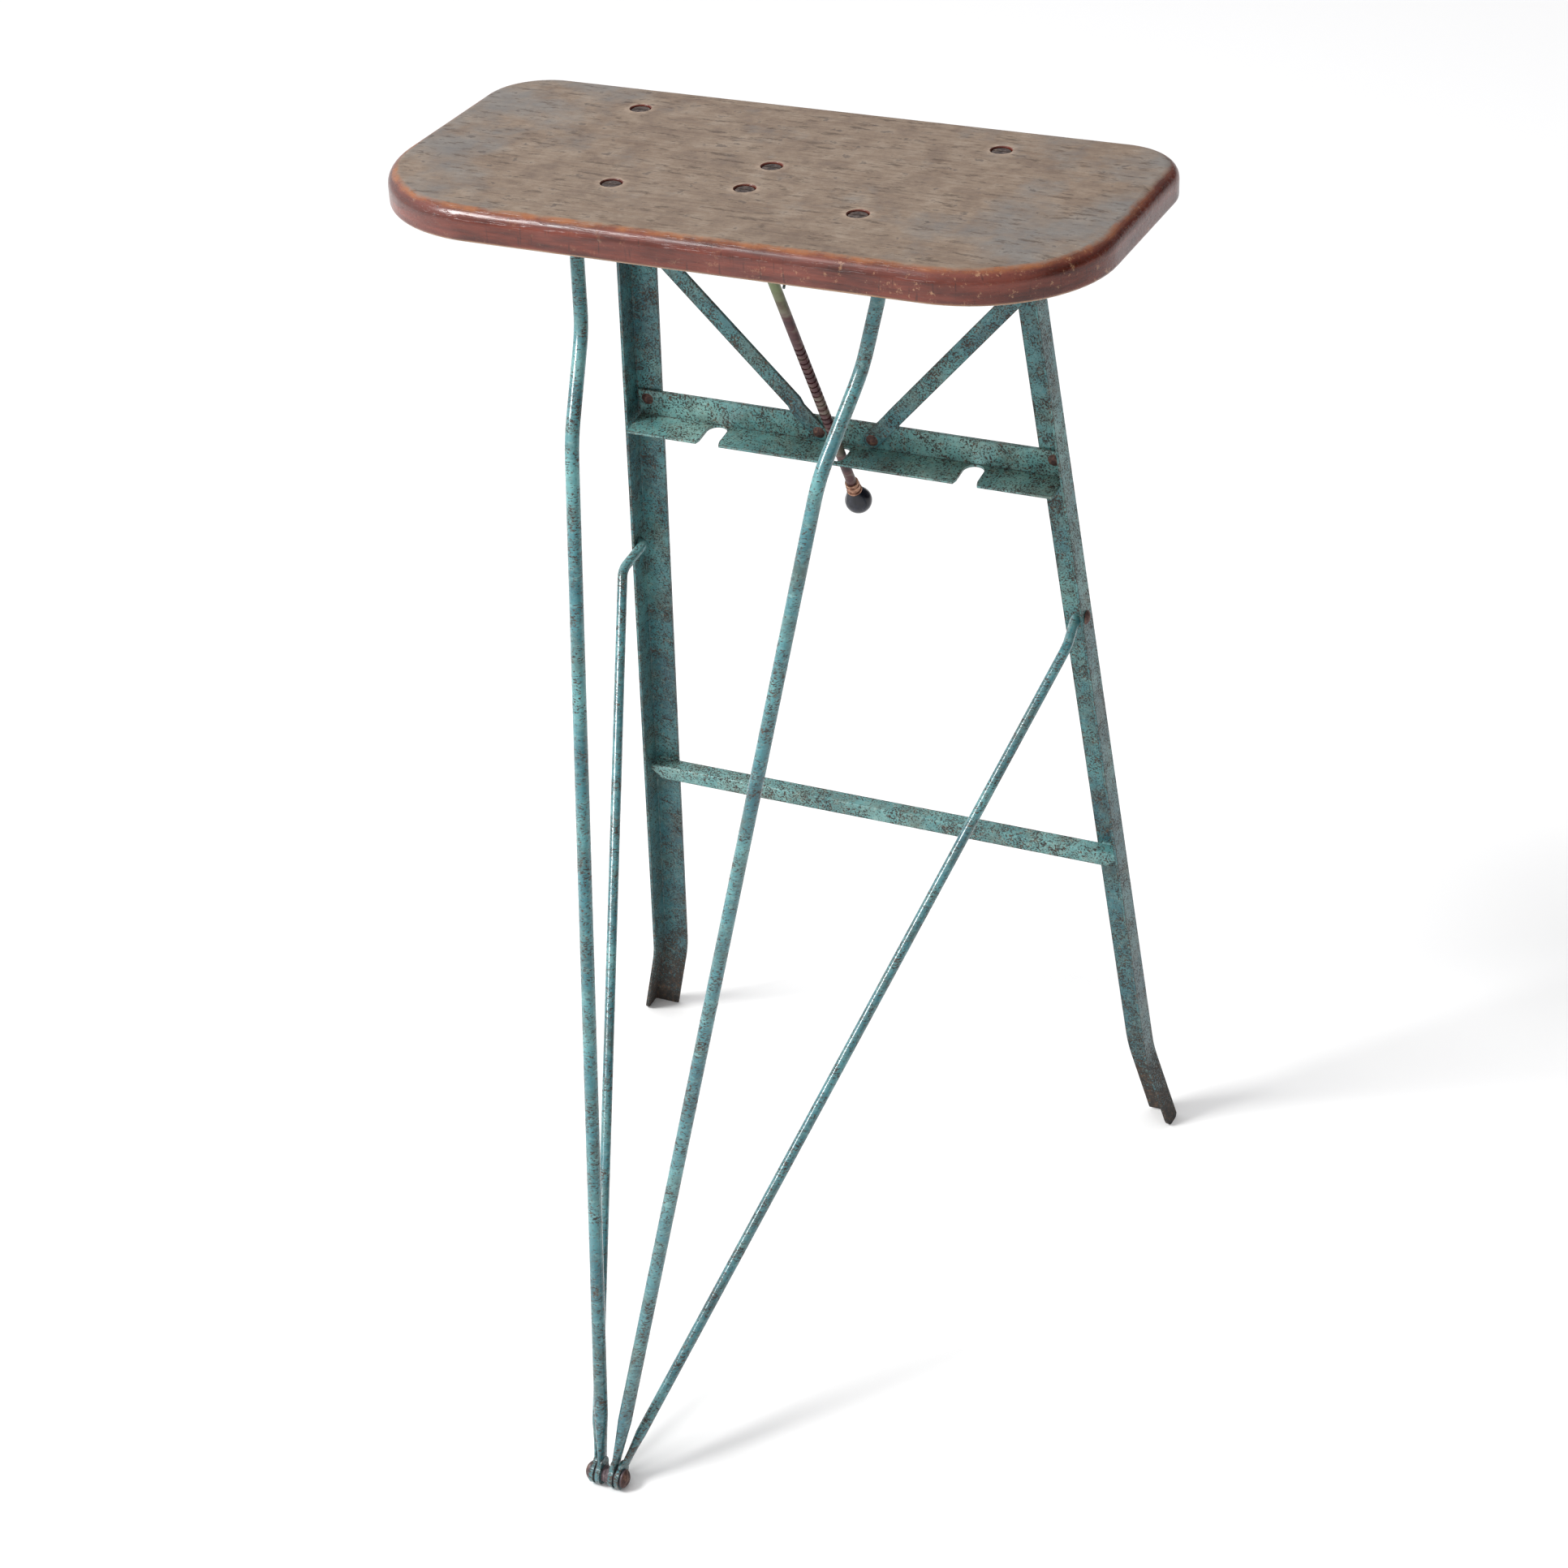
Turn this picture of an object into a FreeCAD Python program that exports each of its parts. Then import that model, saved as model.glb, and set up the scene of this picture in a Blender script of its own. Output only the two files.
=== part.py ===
import FreeCAD, Part
import math
import os

# Folding ironing stand: a wooden board on a steel tripod frame. All sizes in millimetres.
# +X runs along the board, +Y towards the two rear legs, +Z up, and the floor is at z = 0.

# Board
board_length = 471.0
board_width = 234.0
board_thickness = 21.5
board_height = 780.0
board_centre_y = 74.3
near_corner_radius = 88.0
far_corner_radius = 42.0
upper_arris_radius = 9.0
lower_arris_radius = 3.0

# Screws through the board, as (x, y) in plan
rear_screw = (123.0, 151.0)
front_screw = (81.0, 25.5)
centre_screw_rows = (42.5, 82.0)
screw_shank_radius = 2.5
screw_head_radius = 6.2
screw_head_thickness = 2.2
recess_radius = 6.7
recess_depth = 3.0
nut_size = 9.0
nut_thickness = 2.5
hole_clearance = 0.05
screw_tail = 0.8

# Rear legs: angle steel, its outer rear edge given at the underside of the board and at the floor
leg_top_x = 140.5
leg_top_y = 157.5
leg_floor_x = 206.3
leg_floor_y = 261.1
rear_flange = 20.6
side_flange = 18.8
steel = 2.0
fold_radius = 2.4
foot_flare_length = 66.0
foot_flare_angle = 9.2
foot_flare_radius = 110.0
short_flange_cut = 2.0
foot_tip_radius = 7.0
foot_wall = 5.0

# Hinge between the board and the rear legs
hinge_y = 150.5
hinge_z = 747.0
hinge_pin_radius = 3.0
hinge_ear_radius = 8.4
hinge_ear_x = 135.6
hinge_plate_inner_x = 106.0
hinge_plate_y = (138.5, 163.5)
hinge_head_radii = (5.6, 5.8)
hinge_head_heights = (2.2, 2.6)
hinge_washer = 1.1
flange_stop_below_hinge = 14.0
running_clearance = 0.06
press_clearance = 0.02

# Front rods: round bar, points on the right rod's centre line
front_rod_radius = 4.5
front_hinge = (13.0, 750.0)
front_rod_inner_x = 63.5
front_rod_corner_x = 100.8
front_rod_shoulder = (99.2, 8.5, 733.5)
front_rod_upper_bend = (93.3, -3.1, 694.8)
front_rod_lower_bend = (82.3, -46.6, 641.1)
front_rod_bend_radii = (70.0, 60.0, 60.0, 8.5)
front_rod_taper = 34.0
clip_width = 20.0
clip_outer_radius = 7.2

# Struts: thinner round bar
strut_radius = 3.5
strut_pivot_along = 313.5
strut_pivot_forward = 12.0
strut_pivot_x = 160.6
strut_end_x = 164.9
strut_bend = (164.2, 159.3, 438.2)
strut_bend_radii = (16.0, 4.1)
strut_taper = 26.0

# Front foot: the four bar ends are flattened into eyes on one short axle
axle_y = -253.5
axle_z = 7.5
axle_radius = 3.2
eye_radius = 7.5
front_eye_x = 4.6
front_eye_thickness = 3.2
strut_eye_x = 9.1
strut_eye_thickness = 2.8
washer_radius = 6.2
axle_head_x = 12.3
axle_half_length = 15.3

# Cross-bars, placed by their distance down the legs from the underside of the board
upper_bar_along = 191.2
upper_bar_height = 21.2
upper_bar_depth = 25.7
upper_bar_half = 153.4
notch_x = 93.0
notch_radius = 7.4
notch_flare = 1.3
latch_slot_half_width = 4.7
latch_slot_forward = (7.0, 25.0)
lower_bar_along = 515.5
lower_bar_depth = 10.8
lower_bar_height = 11.0
lower_bar_half = 181.8

# Braces: flat strip from the middle of the upper bar to the tops of the legs
brace_width = 12.0
brace_low = (19.2, 203.0)
brace_high = (134.5, 72.0)
brace_end_radius = 6.0
rivet_radius = 2.5
rivet_head_radius = 4.3
rivet_head_height = 1.8

# Latch rod, in the middle plane
latch_pivot = (60.1, 735.0)
knob_centre = (197.8, 501.2)
latch_radius = 3.5
latch_pin_radius = 2.0
ear_gap = 12.0
ear_thickness = 1.6
knob_radius = 9.3
knob_neck_radius = 5.2
knob_neck_face = 11.4
rod_in_knob = 7.0
latch_eye_radius = 4.4
latch_eye_width = 5.2
latch_neck_radius = 3.2
latch_neck = (3.9, 11.0)
bracket_margin = 9.0
bracket_ear_radius = 5.5
pivot_gap = 0.35
collar_radius = 3.4
groove_count = 20
groove_pitch = 5.0
groove_width = 1.8
groove_depth = 0.55
groove_start = 98.0
ferrule_length = 10.0
ferrule_radii = (4.2, 4.7)
ferrule_rings = ((0.0, 4.7), (0.32, 4.9), (0.8, 5.3))
ferrule_ring_width = 1.6
wire_radius = 0.9
spring_hold_along = 34.0
spring_end = (-23.0, 97.0, 756.2)
spring_turn = (-14.0, 88.0, 755.2)
spring_hold_x = (-7.0, 6.5, 8.0)
spring_bend_radii = (3.0, 5.0, 2.6)

board_underside = board_height - board_thickness
Vec = FreeCAD.Vector
x_dir = Vec(1, 0, 0)
leg_run = math.hypot(leg_floor_y - leg_top_y, board_underside)
leg_down = Vec(0, (leg_floor_y - leg_top_y) / leg_run, -board_underside / leg_run)
frame_forward = Vec(0, leg_down.z, -leg_down.y)
splay = (leg_floor_x - leg_top_x) / leg_run


def frame_point(x, along, forward):
    """Point given by its distance down the legs and its distance forward of their rear faces."""
    return Vec(x, leg_top_y, board_underside) + leg_down * along + frame_forward * forward


def leg_edge_x(along):
    return leg_top_x + splay * along


def on_side(point, side):
    """Point of the right half, taken to the left half when side is -1."""
    return Vec(side * point[0], point[1], point[2])


def mirrored(shape):
    return shape.mirror(Vec(0, 0, 0), x_dir)


def solid_from(points, sweep):
    face = Part.Face(Part.makePolygon(points + [points[0]]))
    return face.extrude(sweep)


def frame_prism(profile, half_length):
    """Section given as (along, forward) pairs, run along X to both sides of the middle."""
    points = [frame_point(-half_length, along, forward) for along, forward in profile]
    return solid_from(points, x_dir * (2 * half_length))


def cylinder_between(start, end, radius):
    return Part.makeCylinder(radius, (end - start).Length, start, end - start)


def bent_path(points, radii):
    """Straight runs joined by tangent arcs, one radius for each inner point."""
    edges = []
    start = points[0]
    for index, radius in enumerate(radii):
        corner = points[index + 1]
        back = (points[index] - corner).normalize()
        ahead = (points[index + 2] - corner).normalize()
        half_angle = back.getAngle(ahead) / 2
        reach = radius / math.tan(half_angle)
        arc_start = corner + back * reach
        arc_end = corner + ahead * reach
        middle_dir = (back + ahead).normalize()
        arc_middle = corner + middle_dir * (radius / math.sin(half_angle) - radius)
        edges.append(Part.makeLine(start, arc_start))
        edges.append(Part.Arc(arc_start, arc_middle, arc_end).toShape())
        start = arc_end
    edges.append(Part.makeLine(start, points[-1]))
    return Part.Wire(edges)


def round_bar(points, radii, radius):
    path = bent_path(points, radii)
    section = Part.Wire(Part.makeCircle(radius, points[0], points[1] - points[0]))
    return path.makePipeShell([section], True, False)


def domed_head(base, direction, radius, height):
    """Rivet head: a spherical cap standing on base."""
    sphere_radius = (radius * radius + height * height) / (2 * height)
    centre = base - direction * (sphere_radius - height)
    ball = Part.makeSphere(sphere_radius, centre)
    keep = Part.makeCylinder(radius + 1, height + 1, base, direction)
    return ball.common(keep)


def circle_section(centre, radius, depth_dir, aside):
    """Circle that starts at depth_dir and turns towards aside, as the ellipses do."""
    first = centre + depth_dir * radius
    last = centre - depth_dir * radius
    curve = Part.Circle(first, centre + aside * radius, last)
    return Part.Wire(curve.toShape())


def ellipse_section(centre, half_x, half_depth, depth_dir):
    """Closed ellipse, half_x wide along X and half_depth along the given direction."""
    if half_x > half_depth:
        curve = Part.Ellipse(centre + x_dir * half_x, centre + depth_dir * half_depth, centre)
    else:
        curve = Part.Ellipse(centre + depth_dir * half_depth, centre - x_dir * half_x, centre)
    return Part.Wire(curve.toShape())


def flattened_end(line_end, line, radius, eye_x, eye_thickness, hole_radius):
    """Bar end beaten flat into an upright eye around the foot axle."""
    low = Vec(eye_x - eye_thickness / 2, axle_y, axle_z)
    rise = Vec(0, -line.y, -line.z).normalize() * (eye_radius - 2.0)
    neck = Vec(eye_x, axle_y, axle_z) + rise
    depth_dir = x_dir.cross(line).normalize()
    outward = line.cross(depth_dir).normalize() * math.copysign(1, eye_x)
    first = circle_section(line_end, radius, depth_dir, outward)
    middle = line_end + (neck - line_end) * 0.5
    sections = [first, ellipse_section(middle, 0.68 * radius, 1.15 * radius, depth_dir),
                ellipse_section(neck, eye_thickness / 2, eye_radius - 1.6, depth_dir)]
    taper = Part.makeLoft(sections, True, False)
    disc = Part.makeCylinder(eye_radius, eye_thickness, low, x_dir)
    cheek = Part.makeCylinder(eye_radius - 1.6, eye_thickness, low + rise, x_dir)
    eye = disc.fuse([cheek, taper])
    hole = Part.makeCylinder(hole_radius, eye_thickness + 20, low - x_dir * 10, x_dir)
    return eye.cut(hole)


def board_top():
    half_l = board_length / 2
    half_w = board_width / 2
    corners = ((1, 1, far_corner_radius), (-1, 1, far_corner_radius),
               (-1, -1, near_corner_radius), (1, -1, near_corner_radius))
    edges = []
    ends = []
    for sx, sy, radius in corners:
        cx = sx * (half_l - radius)
        cy = board_centre_y + sy * (half_w - radius)
        diagonal = radius / math.sqrt(2)
        on_end = Vec(cx + sx * radius, cy, board_underside)
        on_side = Vec(cx, cy + sy * radius, board_underside)
        middle = Vec(cx + sx * diagonal, cy + sy * diagonal, board_underside)
        first, last = (on_end, on_side) if sx == sy else (on_side, on_end)
        edges.append(Part.Arc(first, middle, last).toShape())
        ends.append((first, last))
    for index in range(4):
        edges.append(Part.makeLine(ends[index][1], ends[(index + 1) % 4][0]))
    outline = Part.Wire(Part.__sortEdges__(edges))
    body = Part.Face(outline).extrude(Vec(0, 0, board_thickness))
    upper = [e for e in body.Edges if e.BoundBox.ZMin > board_height - 0.01]
    body = body.makeFillet(upper_arris_radius, upper)
    lower = [e for e in body.Edges if e.BoundBox.ZMax < board_underside + 0.01]
    body = body.makeFillet(lower_arris_radius, lower)
    for x, y in screw_places():
        shank = Part.makeCylinder(screw_shank_radius + hole_clearance, board_thickness + 2,
                                  Vec(x, y, board_underside - 1))
        recess = Part.makeCylinder(recess_radius, recess_depth + 1, Vec(x, y, board_height - recess_depth))
        body = body.cut(shank).cut(recess)
    return body


def screw_places():
    places = [(sx * rear_screw[0], rear_screw[1]) for sx in (-1, 1)]
    places += [(sx * front_screw[0], front_screw[1]) for sx in (-1, 1)]
    places += [(0.0, y) for y in centre_screw_rows]
    return places


def board_screws():
    """Countersunk-look screws: a slotted flat head in its recess and a shank down to the nut."""
    solids = []
    seat = board_height - recess_depth
    low = board_underside - steel - nut_thickness - screw_tail
    for x, y in screw_places():
        shank = Part.makeCylinder(screw_shank_radius, seat - low + 0.5, Vec(x, y, low))
        head = Part.makeCylinder(screw_head_radius, screw_head_thickness, Vec(x, y, seat))
        rim = [e for e in head.Edges if e.BoundBox.ZMin > seat + screw_head_thickness - 0.01]
        head = head.makeFillet(0.7, rim)
        slot_corner = Vec(x - screw_head_radius, y - 0.7, seat + screw_head_thickness - 0.8)
        slot = Part.makeBox(2 * screw_head_radius, 1.4, 2, slot_corner)
        solids.append(head.fuse(shank).cut(slot).removeSplitter())
    return Part.makeCompound(solids)


def board_nuts():
    solids = []
    half = nut_size / 2
    top = board_underside - steel
    for x, y in screw_places():
        corner = Vec(x - half, y - half, top - nut_thickness)
        nut = Part.makeBox(nut_size, nut_size, nut_thickness, corner)
        upright = [e for e in nut.Edges if e.BoundBox.ZLength > nut_thickness - 0.1]
        nut = nut.makeChamfer(1.0, upright)
        bore_start = Vec(x, y, top - nut_thickness - 1)
        bore = Part.makeCylinder(screw_shank_radius + 0.01, nut_thickness + 2, bore_start)
        solids.append(nut.cut(bore))
    return Part.makeCompound(solids)


def plate_under_board(x0, x1, y0, y1, corner_radius, screws):
    """Flat plate against the underside of the board, with its screw holes."""
    plate = Part.makeBox(x1 - x0, y1 - y0, steel, Vec(x0, y0, board_underside - steel))
    upright = [e for e in plate.Edges if e.BoundBox.ZLength > steel - 0.1]
    plate = plate.makeFillet(corner_radius, upright)
    for x, y in screws:
        hole = Part.makeCylinder(screw_shank_radius + hole_clearance, steel + 2,
                                 Vec(x, y, board_underside - steel - 1))
        plate = plate.cut(hole)
    return plate


def hinge_bracket():
    """Right rear bracket: a screwed plate with one ear turned down for the leg."""
    ear_outer = hinge_ear_x + steel
    y0, y1 = hinge_plate_y
    plate = plate_under_board(hinge_plate_inner_x, ear_outer, y0, y1, 1.5, [rear_screw])
    corner = Vec(hinge_ear_x, hinge_y, hinge_z)
    disc = Part.makeCylinder(hinge_ear_radius, steel, corner, x_dir)
    neck = Part.makeBox(steel, 2 * hinge_ear_radius, board_underside - hinge_z - 0.5,
                        Vec(hinge_ear_x, hinge_y - hinge_ear_radius, hinge_z))
    hole = Part.makeCylinder(hinge_pin_radius + 0.01, 4 * steel, corner - x_dir * steel, x_dir)
    return plate.fuse([disc, neck]).cut(hole).removeSplitter()


def hinge_pin():
    """Rivet through the ear and the side flange of the right leg, with a washer on the outside."""
    inner = hinge_ear_x - press_clearance
    outer = leg_edge_x(board_underside - hinge_z) + hinge_washer
    axis = Vec(0, hinge_y, hinge_z)
    shank = Part.makeCylinder(hinge_pin_radius, outer - inner + 1, axis + x_dir * (inner - 0.5), x_dir)
    inner_head = domed_head(axis + x_dir * inner, -x_dir, hinge_head_radii[0], hinge_head_heights[0])
    outer_head = domed_head(axis + x_dir * outer, x_dir, hinge_head_radii[1], hinge_head_heights[1])
    return shank.fuse([inner_head, outer_head]).removeSplitter()


def rod_clip():
    """Right front clip: a strap curled round the front rod and screwed behind it."""
    y, z = front_hinge
    x0 = front_screw[0] - clip_width / 2
    plate = plate_under_board(x0, x0 + clip_width, y, front_screw[1] + 11, 0.8, [front_screw])
    curl = Part.makeCylinder(clip_outer_radius, clip_width, Vec(x0, y, z), x_dir)
    throat = Part.makeBox(clip_width, clip_outer_radius, board_underside - z - 0.2, Vec(x0, y, z))
    bore_radius = front_rod_radius + running_clearance
    bore = Part.makeCylinder(bore_radius, clip_width + 2, Vec(x0 - 1, y, z), x_dir)
    return plate.fuse([curl, throat]).cut(bore).removeSplitter()


def leg_profile():
    """Angle section of the right leg at its top, corner outwards and to the rear."""
    along_leg = Vec(splay, leg_down.y, leg_down.z).normalize()
    inward = frame_forward.cross(along_leg).normalize()
    if inward.x > 0:
        inward = inward * -1
    corner = frame_point(leg_top_x, 0, 0)

    def at(side, depth):
        return corner + inward * side + frame_forward * depth

    r = fold_radius
    k = r * (1 - math.sqrt(0.5))
    inner = r - steel
    m = steel + inner * (1 - math.sqrt(0.5))
    edges = [
        Part.makeLine(at(rear_flange, 0), at(r, 0)),
        Part.Arc(at(r, 0), at(k, k), at(0, r)).toShape(),
        Part.makeLine(at(0, r), at(0, side_flange)),
        Part.makeLine(at(0, side_flange), at(steel, side_flange)),
        Part.makeLine(at(steel, side_flange), at(steel, r)),
        Part.Arc(at(steel, r), at(m, m), at(r, steel)).toShape(),
        Part.makeLine(at(r, steel), at(rear_flange, steel)),
        Part.makeLine(at(rear_flange, steel), at(rear_flange, 0)),
    ]
    return Part.Wire(edges), corner, along_leg


def leg(side):
    """Rear leg; side is +1 for the right one and -1 for the left one."""
    section, corner, along_leg = leg_profile()
    full = board_underside / -along_leg.z
    bend_at = corner + along_leg * (full - foot_flare_length)
    flare = math.radians(foot_flare_angle)
    outward = along_leg.cross(frame_forward).normalize()
    if outward.x < 0:
        outward = outward * -1
    toe_dir = along_leg * math.cos(flare) + outward * math.sin(flare)
    toe = bend_at + toe_dir * (foot_flare_length * 1.6)
    path = bent_path([corner, bend_at, toe], [foot_flare_radius])
    shape = path.makePipeShell([section], True, False)
    shape = shape.cut(Part.makeBox(600, 600, 200, Vec(-300, 0, -200)))
    shape = trim_leg_top(shape)
    shape = trim_foot(shape, side)
    for hole in leg_holes():
        shape = shape.cut(hole)
    shape = shape.removeSplitter()
    return shape if side > 0 else mirrored(shape)


def trim_leg_top(shape):
    """The rear flange stops below the hinge, and the side flange ends in a round ear."""
    edge = leg_edge_x(0)
    cap = Part.makeBox(60, 60, 40, Vec(edge - 30, hinge_y - 30, hinge_z))
    ear_radius = side_flange / 2 - 0.15
    centre = Vec(edge - 30, hinge_y - 0.9, hinge_z)
    cap = cap.cut(Part.makeCylinder(ear_radius, 60, centre, x_dir))
    shape = shape.cut(cap)
    inner = edge + splay * (board_underside - hinge_z) - steel - 0.2
    corner = Vec(inner - 60, hinge_y - 20, hinge_z - flange_stop_below_hinge)
    return shape.cut(Part.makeBox(60, 60, 40, corner))


def trim_foot(shape, side):
    """The side flange carries the load on a rounded tip. The right rear flange stops just short."""
    toe_x = leg_floor_x + foot_flare_length * math.sin(math.radians(foot_flare_angle)) - 1
    tip = leg_floor_y - side_flange - 1
    if side > 0:
        corner = Vec(toe_x - 43, leg_floor_y - 5, -20)
        shape = shape.cut(Part.makeBox(40, 40, short_flange_cut + 20, corner))
        shape = shape.cut(foot_corner(toe_x, leg_floor_y, -1))
    return shape.cut(foot_corner(toe_x, tip, 1))


def foot_corner(toe_x, y, into):
    """What a rounded lower corner of the side flange leaves out; into is the way to the flange."""
    r = foot_tip_radius
    low = Vec(toe_x - foot_wall, min(y, y + into * r) - (1 if into > 0 else 0), -1)
    block = Part.makeBox(2 * foot_wall, r + 1, r + 1, low)
    centre = Vec(toe_x - foot_wall - 1, y + into * r, r)
    return block.cut(Part.makeCylinder(r, 2 * foot_wall + 2, centre, x_dir))


def leg_holes():
    pivot = Vec(leg_top_x - 20, hinge_y, hinge_z)
    hinge_hole = Part.makeCylinder(hinge_pin_radius + running_clearance, 40, pivot, x_dir)
    strut_at = frame_point(strut_pivot_x, strut_pivot_along, strut_pivot_forward)
    strut_hole = Part.makeCylinder(strut_radius + press_clearance, 20, strut_at, x_dir)
    rivets = []
    for x, along in bar_rivet_places() + [brace_high]:
        base = frame_point(x, along, -1)
        rivets.append(Part.makeCylinder(rivet_radius + press_clearance, 6, base, frame_forward))
    return [hinge_hole, strut_hole] + rivets


def bar_rivet_places():
    """Right-hand rivets of the upper bar, as (x, along)."""
    return [(147.0, upper_bar_along + 7.0)]


def upper_crossbar():
    top = upper_bar_along
    fold = top + upper_bar_height
    front = steel + upper_bar_depth
    bar = frame_prism([(top, steel), (top, 2 * steel), (fold - steel, 2 * steel), (fold - steel, front),
                       (fold, front), (fold, steel)], upper_bar_half)
    lower_edge = [e for e in bar.Edges if edge_is_on(e, fold, steel)]
    bar = bar.makeFillet(fold_radius, lower_edge)
    for side in (-1, 1):
        bar = bar.cut(rod_notch(side * notch_x, fold, front))
        for x, along in bar_rivet_places():
            bar = bar.cut(rivet_bore(side * x, along))
        bar = bar.cut(rivet_bore(side * brace_low[0], brace_low[1]))
    return bar.cut(latch_slot(fold)).removeSplitter()


def edge_is_on(edge, along, forward):
    """True for the long edge that runs along X at the given place in the frame."""
    if edge.BoundBox.XLength < 100:
        return False
    target = frame_point(0, along, forward)
    middle = edge.CenterOfMass
    return abs(middle.y - target.y) < 0.2 and abs(middle.z - target.z) < 0.2


def rivet_bore(x, along):
    return Part.makeCylinder(rivet_radius + press_clearance, 12, frame_point(x, along, -2), frame_forward)


def rod_notch(x, fold, front):
    """Open half-round notch in the lower flange that takes a folded front rod."""
    centre = 2 * steel + notch_radius + 0.4
    low = frame_point(x, fold + 2, centre)
    round_end = Part.makeCylinder(notch_radius, 3 * steel, low, leg_down * -1)
    flare = notch_radius + notch_flare
    mouth = [(notch_radius, centre), (notch_radius, front - 4.0), (flare, front + 0.5)]
    points = [frame_point(x + half, fold + 2, forward) for half, forward in mouth]
    points += [frame_point(x - half, fold + 2, forward) for half, forward in reversed(mouth)]
    return round_end.fuse(solid_from(points, leg_down * (-3 * steel)))


def latch_slot(fold):
    near, far = latch_slot_forward
    r = latch_slot_half_width
    up = leg_down * -1
    below = fold + 2
    ends = [Part.makeCylinder(r, 3 * steel, frame_point(0, below, f), up) for f in (near + r, far - r)]
    middle = ((-r, near + r), (r, near + r), (r, far - r), (-r, far - r))
    points = [frame_point(x, below, f) for x, f in middle]
    return ends[0].fuse([ends[1], solid_from(points, up * (3 * steel))])


def lower_crossbar():
    top = lower_bar_along
    front = steel + lower_bar_depth
    profile = [(top, steel), (top, front), (top + lower_bar_height, front),
               (top + lower_bar_height, front - steel), (top + steel, front - steel), (top + steel, steel)]
    bar = frame_prism(profile, lower_bar_half)
    outer_edge = [e for e in bar.Edges if edge_is_on(e, top, front)]
    bar = bar.makeFillet(fold_radius - 0.6, outer_edge)
    for side in (-1, 1):
        corner = [frame_point(side * (lower_bar_half + 1), top + 3, front + 1),
                  frame_point(side * (lower_bar_half + 1), top + lower_bar_height + 1, front + 1),
                  frame_point(side * (lower_bar_half - 9), top + lower_bar_height + 1, front + 1)]
        bar = bar.cut(solid_from(corner, frame_forward * -(steel + 1.5)))
    return bar


def lower_bar_welds():
    """Short beads that join the lower bar to the front faces of the legs."""
    solids = []
    for side in (-1, 1):
        for along in (lower_bar_along, lower_bar_along + steel):
            start = frame_point(side * 169.0, along, steel)
            end = frame_point(side * 178.5, along, steel)
            bead = cylinder_between(start, end, 1.7)
            bead = bead.fuse([Part.makeSphere(1.7, start), Part.makeSphere(1.7, end)])
            solids.append(keep_in_front(bead, along))
    return Part.makeCompound(solids)


def keep_in_front(bead, along):
    """Keep the quarter of a bead that stands clear of the leg and of the bar."""
    edge = lower_bar_along
    outside = -1 if along == edge else 1
    far = along + outside * 4
    profile = [(along, steel), (far, steel), (far, steel + 4), (along, steel + 4)]
    return bead.common(frame_prism(profile, 200))


def brace(side):
    """Flat strip set over the bar at its lower end and flat on the leg at its upper end."""
    low = Vec(*brace_low, 0)
    high = Vec(*brace_high, 0)
    run = high - low
    length = run.Length
    unit = run.normalize()
    across = Vec(-unit.y, unit.x, 0)
    half = brace_width / 2

    def place(distance, sideways, forward):
        flat = low + unit * distance + across * sideways
        return frame_point(flat.x, flat.y, forward)

    jog = 21.0
    outline = [(-half, 2), (jog, 2), (jog + 5, 1), (length + half, 1), (length + half, 2),
               (jog + 5.6, 2), (jog + 0.6, 3), (-half, 3)]
    points = [place(distance, -half, layer * steel) for distance, layer in outline]
    sweep = place(0, half, 0) - place(0, -half, 0)
    strip = solid_from(points, sweep)
    corners = ((0, -half), (length, -half), (length, half), (0, half))
    rail = solid_from([place(*corner, 0) for corner in corners], frame_forward * 10)
    ends = [Part.makeCylinder(half, 10, place(d, 0, 0), frame_forward) for d in (0, length)]
    strip = strip.common(rail.fuse(ends))
    for x, along in (brace_low, brace_high):
        strip = strip.cut(rivet_bore(x, along))
    strip = strip.removeSplitter()
    return strip if side > 0 else mirrored(strip)


def rivet(x, along, back, front):
    """Rivet through the frame from forward distance back to front, with a head at each end."""
    low = frame_point(x, along, back)
    high = frame_point(x, along, front)
    shank = cylinder_between(low, high, rivet_radius)
    heads = [domed_head(high, frame_forward, rivet_head_radius, rivet_head_height),
             domed_head(low, frame_forward * -1, rivet_head_radius - 0.5, rivet_head_height * 0.6)]
    return shank.fuse(heads).removeSplitter()


def crossbar_rivets():
    solids = []
    for side in (-1, 1):
        for x, along in bar_rivet_places():
            solids.append(rivet(side * x, along, 0, 2 * steel))
    return Part.makeCompound(solids)


def brace_rivets():
    solids = []
    for side in (-1, 1):
        solids.append(rivet(side * brace_low[0], brace_low[1], steel, 3 * steel))
        solids.append(rivet(side * brace_high[0], brace_high[1], 0, 2 * steel))
    return Part.makeCompound(solids)


def strut_rivet():
    """Outer end of the right strut, peened over on the outside of the leg."""
    pivot = frame_point(0, strut_pivot_along, strut_pivot_forward)
    inner = Vec(strut_end_x + 0.6, pivot.y, pivot.z)
    outer = Vec(leg_edge_x(strut_pivot_along) + 0.4, pivot.y, pivot.z)
    shank = cylinder_between(inner, outer + x_dir * 0.5, strut_radius)
    return shank.fuse(domed_head(outer, x_dir, 5.0, 2.2)).removeSplitter()


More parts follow.
